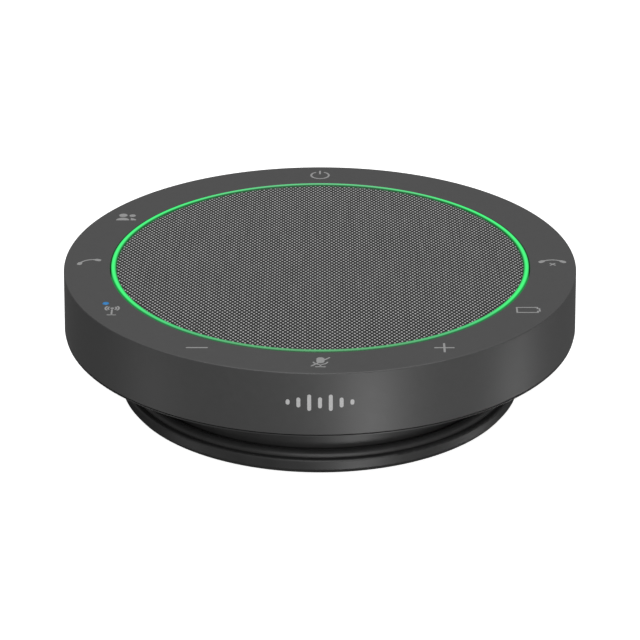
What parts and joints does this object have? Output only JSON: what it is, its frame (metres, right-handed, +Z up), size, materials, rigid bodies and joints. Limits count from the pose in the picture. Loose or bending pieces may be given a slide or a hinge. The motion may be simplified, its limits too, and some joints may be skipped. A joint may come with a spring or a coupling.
{
  "type": "conference speakerphone",
  "caption": "Round flat conference speakerphone with a fabric grille, a light ring, keys under a soft skin, and a stowed lead round its base.",
  "frame": {"origin": "centre of the footprint, on the surface it stands on", "axes": "+Z up through the disc, -Y to the front (the mute key), +X to the right"},
  "size_m": [0.1324, 0.1324, 0.036],
  "materials": {
    "skin": "matt soft touch",
    "frame_plastic": "moulded",
    "case_plastic": "fine spark texture",
    "foot_rubber": "matt",
    "light": "glowing diffuser",
    "status_light": "glowing",
    "cloth": "plain weave",
    "plate_metal": "black painted",
    "board": "solder mask",
    "chip": "moulded",
    "can_metal": "tinned",
    "led_white": "moulded",
    "magnet_steel": "plated",
    "coil_copper": "enamelled",
    "cone_paper": "pressed",
    "cell_wrap": "shrink wrap",
    "screw_steel": "zinc plated",
    "lead_jacket": "satin",
    "plug_metal": "polished"
  },
  "bodies": {
    "root": {"soft_skin": "skin", "top_frame": "frame_plastic", "grille_ring": "frame_plastic", "speaker_chamber": "frame_plastic", "speaker_basket": "frame_plastic", "lower_shell": "case_plastic", "neck_shell": "case_plastic", "base_cover": "case_plastic", "rubber_foot": "foot_rubber", "microphone_boots": "foot_rubber", "speaker_gasket": "foot_rubber", "speaker_surround": "foot_rubber", "battery_pads": "foot_rubber", "light_guide": "light", "grille_cloth": "cloth", "grille_plate": "plate_metal", "main_board": "board", "led_board": "board", "board_chips": "chip", "switch_bodies": "chip", "board_sockets": "chip", "shield_can": "can_metal", "microphones": "can_metal", "leds": "led_white", "speaker_magnet": "magnet_steel", "voice_coil": "coil_copper", "speaker_cone": "cone_paper", "dust_cap": "cone_paper", "battery": "cell_wrap", "board_screws": "screw_steel", "speaker_screws": "screw_steel", "base_screws": "screw_steel", "cable": "lead_jacket", "cable_boot": "lead_jacket", "plug_boot": "lead_jacket", "plug_body": "lead_jacket", "plug_shell": "plug_metal"},
    "power_key": {"key_power": "skin", "stem_power": "frame_plastic"},
    "people_key": {"key_people": "skin", "stem_people": "frame_plastic"},
    "answer_key": {"key_answer": "skin", "stem_answer": "frame_plastic"},
    "wireless_key": {"key_wireless": "skin", "stem_wireless": "frame_plastic", "status_lens": "status_light"},
    "volume_down_key": {"key_volume_down": "skin", "stem_volume_down": "frame_plastic"},
    "mute_key": {"key_mute": "skin", "stem_mute": "frame_plastic"},
    "volume_up_key": {"key_volume_up": "skin", "stem_volume_up": "frame_plastic"},
    "battery_key": {"key_battery": "skin", "stem_battery": "frame_plastic"},
    "end_call_key": {"key_end_call": "skin", "stem_end_call": "frame_plastic"}
  },
  "joints": [
    {"name": "power_press", "type": "slide", "parent": "root", "child": "power_key", "axis": [0, 0, -1], "range_m": [0, 0.00025], "stiffness_N_per_m": 1600},
    {"name": "people_press", "type": "slide", "parent": "root", "child": "people_key", "axis": [0, 0, -1], "range_m": [0, 0.00025], "stiffness_N_per_m": 1600},
    {"name": "answer_press", "type": "slide", "parent": "root", "child": "answer_key", "axis": [0, 0, -1], "range_m": [0, 0.00025], "stiffness_N_per_m": 1600},
    {"name": "wireless_press", "type": "slide", "parent": "root", "child": "wireless_key", "axis": [0, 0, -1], "range_m": [0, 0.00025], "stiffness_N_per_m": 1600},
    {"name": "volume_down_press", "type": "slide", "parent": "root", "child": "volume_down_key", "axis": [0, 0, -1], "range_m": [0, 0.00025], "stiffness_N_per_m": 1600},
    {"name": "mute_press", "type": "slide", "parent": "root", "child": "mute_key", "axis": [0, 0, -1], "range_m": [0, 0.00025], "stiffness_N_per_m": 1600},
    {"name": "volume_up_press", "type": "slide", "parent": "root", "child": "volume_up_key", "axis": [0, 0, -1], "range_m": [0, 0.00025], "stiffness_N_per_m": 1600},
    {"name": "battery_press", "type": "slide", "parent": "root", "child": "battery_key", "axis": [0, 0, -1], "range_m": [0, 0.00025], "stiffness_N_per_m": 1600},
    {"name": "end_call_press", "type": "slide", "parent": "root", "child": "end_call_key", "axis": [0, 0, -1], "range_m": [0, 0.00025], "stiffness_N_per_m": 1600}
  ]
}
